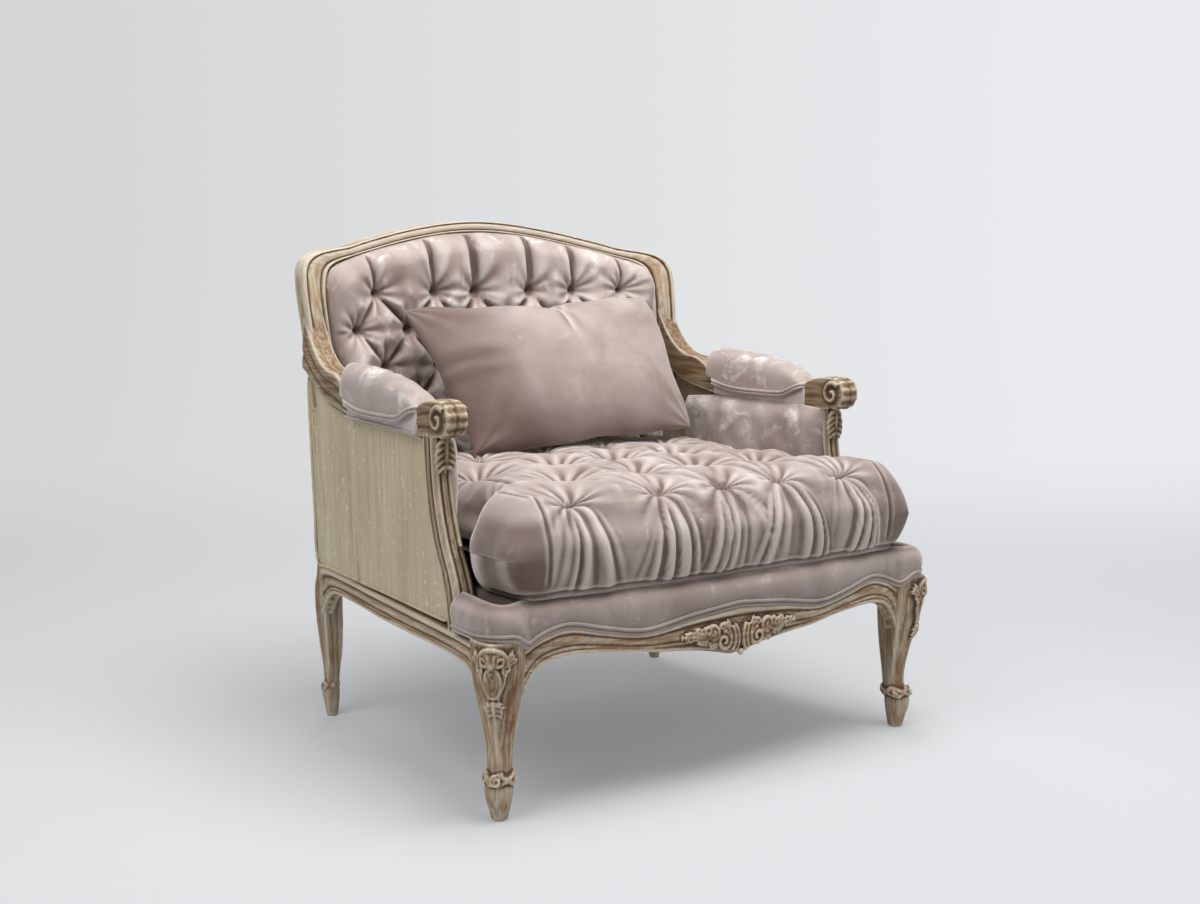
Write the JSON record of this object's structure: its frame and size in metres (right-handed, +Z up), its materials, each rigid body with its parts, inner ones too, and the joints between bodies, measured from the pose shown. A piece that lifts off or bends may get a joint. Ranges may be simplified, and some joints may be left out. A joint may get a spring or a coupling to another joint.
{
  "type": "tufted armchair",
  "caption": "Carved limed-wood armchair with a tufted velvet back, a loose tufted seat cushion, padded arms and a plain lumbar pillow",
  "frame": {"origin": "on the floor under the middle of the chair's box", "axes": "+X to the right as seen from the front, +Y to the back of the chair, +Z up"},
  "size_m": [1.0206, 0.8974, 0.981],
  "materials": {
    "limed_wood": "matte",
    "painted_panel": "matte",
    "inner_wood": "matte",
    "screw_steel": "satin",
    "glide_plastic": "matte",
    "webbing": "matte",
    "lining_cloth": "matte",
    "velvet": "satin",
    "filling": "matte"
  },
  "bodies": {
    "chair": {"front_leg_left": "limed_wood", "front_leg_right": "limed_wood", "back_post_left": "limed_wood", "back_post_right": "limed_wood", "front_rail": "limed_wood", "side_rail_left": "limed_wood", "side_rail_right": "limed_wood", "back_rail": "limed_wood", "crest_rail": "limed_wood", "arm_rail_left": "limed_wood", "arm_rail_right": "limed_wood", "arm_support_left": "limed_wood", "arm_support_right": "limed_wood", "front_carving": "limed_wood", "knee_carving_left": "limed_wood", "knee_carving_right": "limed_wood", "side_panel_left": "painted_panel", "side_panel_right": "painted_panel", "back_panel": "painted_panel", "lower_back_rail": "inner_wood", "corner_blocks": "inner_wood", "rail_dowels": "inner_wood", "arm_dowels": "inner_wood", "crest_dowels": "inner_wood", "corner_block_screws": "screw_steel", "foot_glides": "glide_plastic", "seat_webbing": "webbing", "seat_cross_webbing": "webbing", "back_webbing": "webbing", "deck_cloth": "lining_cloth", "dust_cover": "lining_cloth", "seat_deck": "lining_cloth", "front_border": "velvet", "back_pad": "velvet", "arm_pad_left": "velvet", "arm_pad_right": "velvet", "inner_arm_pad_left": "velvet", "inner_arm_pad_right": "velvet"},
    "cushion": {"seat_cushion": "velvet", "cushion_core": "filling"},
    "pillow": {"lumbar_pillow": "velvet", "pillow_insert": "filling"}
  },
  "joints": [
    {"name": "cushion_slide", "type": "slide", "parent": "chair", "child": "cushion", "axis": [0, -1, 0], "range_m": [0, 0.35]},
    {"name": "pillow_lift", "type": "slide", "parent": "cushion", "child": "pillow", "axis": [0, 0, 1], "range_m": [0, 0.3]}
  ]
}
